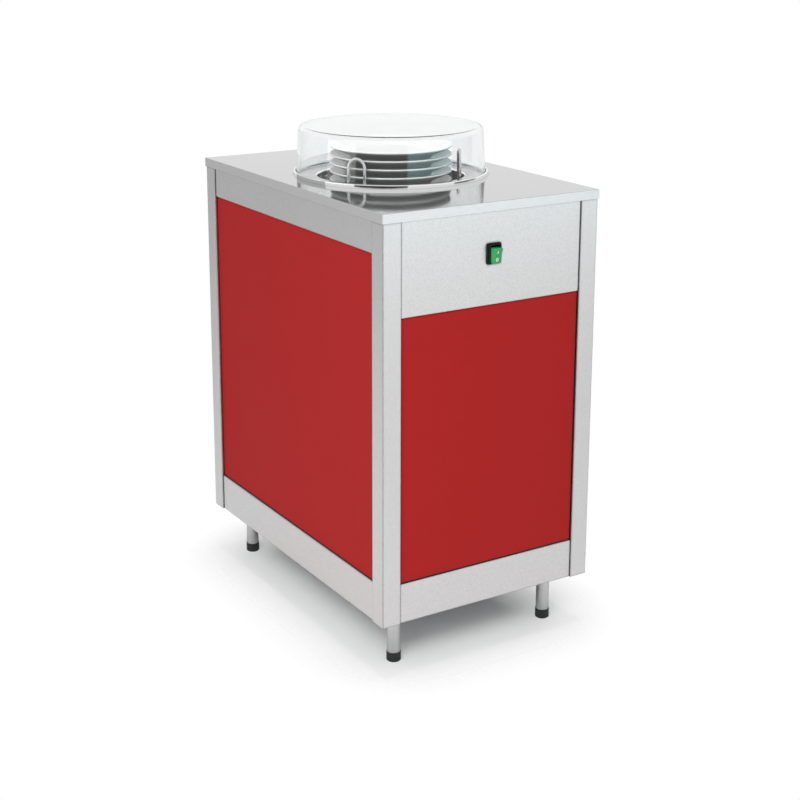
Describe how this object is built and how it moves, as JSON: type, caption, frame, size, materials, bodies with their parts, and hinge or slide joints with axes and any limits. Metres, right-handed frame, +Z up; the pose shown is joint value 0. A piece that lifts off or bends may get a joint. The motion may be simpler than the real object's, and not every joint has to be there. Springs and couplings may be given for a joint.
{
  "type": "heated plate dispenser",
  "caption": "Floor-standing heated plate dispenser: stainless cabinet with coloured panels, sprung plate well, clear lift-off cover, rocker switch and short legs.",
  "frame": {"origin": "on the floor under the middle of the worktop", "axes": "+Z up, -Y towards the front with the switch, +X to the right seen from the front"},
  "size_m": [0.46, 0.7238, 0.943],
  "materials": {
    "worktop_steel": "fine brushed stainless sheet",
    "cabinet_steel": "satin stainless sheet",
    "zinc_steel": "zinc-plated steel sheet",
    "red_paint": "satin red coating on sheet",
    "leg_steel": "satin stainless tube",
    "foot_plastic": "black moulded plastic",
    "fastener_steel": "zinc-plated fasteners",
    "rim_chrome": "polished stainless pressing",
    "liner_steel": "bright stainless sheet",
    "guide_wire": "polished round wire",
    "spring_steel": "drawn spring wire",
    "clear_plastic": "clear moulded polycarbonate",
    "nylon": "natural nylon",
    "porcelain": "white glazed porcelain",
    "mineral_wool": "mineral wool blanket",
    "element_sheath": "dark oxidised heater sheath",
    "black_plastic": "black moulded plastic",
    "brass_tab": "tinned brass spade tabs",
    "green_plastic": "green moulded plastic"
  },
  "bodies": {
    "cabinet": {"cable_gland": "black_plastic", "control_panel": "cabinet_steel", "floor_pan": "zinc_steel", "front_lower_rail": "cabinet_steel", "front_panel": "red_paint", "front_panel_clips": "zinc_steel", "gland_nut": "black_plastic", "guide_base_ring": "zinc_steel", "guide_brackets": "liner_steel", "guide_loop_left": "guide_wire", "guide_loop_rear": "guide_wire", "guide_loop_right": "guide_wire", "heater_element": "element_sheath", "heater_guard": "zinc_steel", "insulation": "mineral_wool", "left_lower_rail": "cabinet_steel", "left_panel": "red_paint", "left_panel_clips": "zinc_steel", "left_upper_rail": "cabinet_steel", "leg_bolts": "fastener_steel", "legs": "leg_steel", "post_front_left": "cabinet_steel", "post_front_right": "cabinet_steel", "post_rear_left": "cabinet_steel", "post_rear_right": "cabinet_steel", "rear_lower_rail": "cabinet_steel", "rear_panel": "cabinet_steel", "rear_panel_screws": "fastener_steel", "right_lower_rail": "cabinet_steel", "right_panel": "red_paint", "right_panel_clips": "zinc_steel", "right_upper_rail": "cabinet_steel", "rim_ring": "rim_chrome", "spring_left": "spring_steel", "spring_rear": "spring_steel", "spring_right": "spring_steel", "switch_bezel": "black_plastic", "switch_terminals": "brass_tab", "terminal_box": "black_plastic", "terminal_box_lid": "black_plastic", "thermostat": "black_plastic", "well_casing": "zinc_steel", "well_liner": "liner_steel", "worktop": "worktop_steel", "worktop_stiffeners": "zinc_steel"},
    "cover": {"cover": "clear_plastic"},
    "carriage": {"carrier": "liner_steel", "spring_hangers": "liner_steel", "carrier_bushes": "nylon", "plate_stack": "porcelain", "top_plate": "porcelain"},
    "rocker": {"rocker": "green_plastic"},
    "foot_front_left": {"foot_front_left": "foot_plastic"},
    "foot_front_right": {"foot_front_right": "foot_plastic"},
    "foot_rear_left": {"foot_rear_left": "foot_plastic"},
    "foot_rear_right": {"foot_rear_right": "foot_plastic"}
  },
  "joints": [
    {"name": "cover_lift", "type": "slide", "parent": "cabinet", "child": "cover", "axis": [0, 0, 1], "range_m": [0, 0.25]},
    {"name": "carriage_travel", "type": "slide", "parent": "cabinet", "child": "carriage", "axis": [0, 0, -1], "range_m": [0, 0.47], "stiffness_N_per_m": 400, "springref_m": -0.14, "deforming": ["spring_left", "spring_right", "spring_rear"]},
    {"name": "switch_rock", "type": "hinge", "parent": "cabinet", "child": "rocker", "pos_m": [0, -0.3445, 0.757], "axis": [1, 0, 0], "range_deg": [-22, 0]},
    {"name": "foot_front_left_height", "type": "slide", "parent": "cabinet", "child": "foot_front_left", "axis": [0, 0, -1], "range_m": [0, 0.02]},
    {"name": "foot_front_right_height", "type": "slide", "parent": "cabinet", "child": "foot_front_right", "axis": [0, 0, -1], "range_m": [0, 0.02]},
    {"name": "foot_rear_left_height", "type": "slide", "parent": "cabinet", "child": "foot_rear_left", "axis": [0, 0, -1], "range_m": [0, 0.02]},
    {"name": "foot_rear_right_height", "type": "slide", "parent": "cabinet", "child": "foot_rear_right", "axis": [0, 0, -1], "range_m": [0, 0.02]}
  ]
}
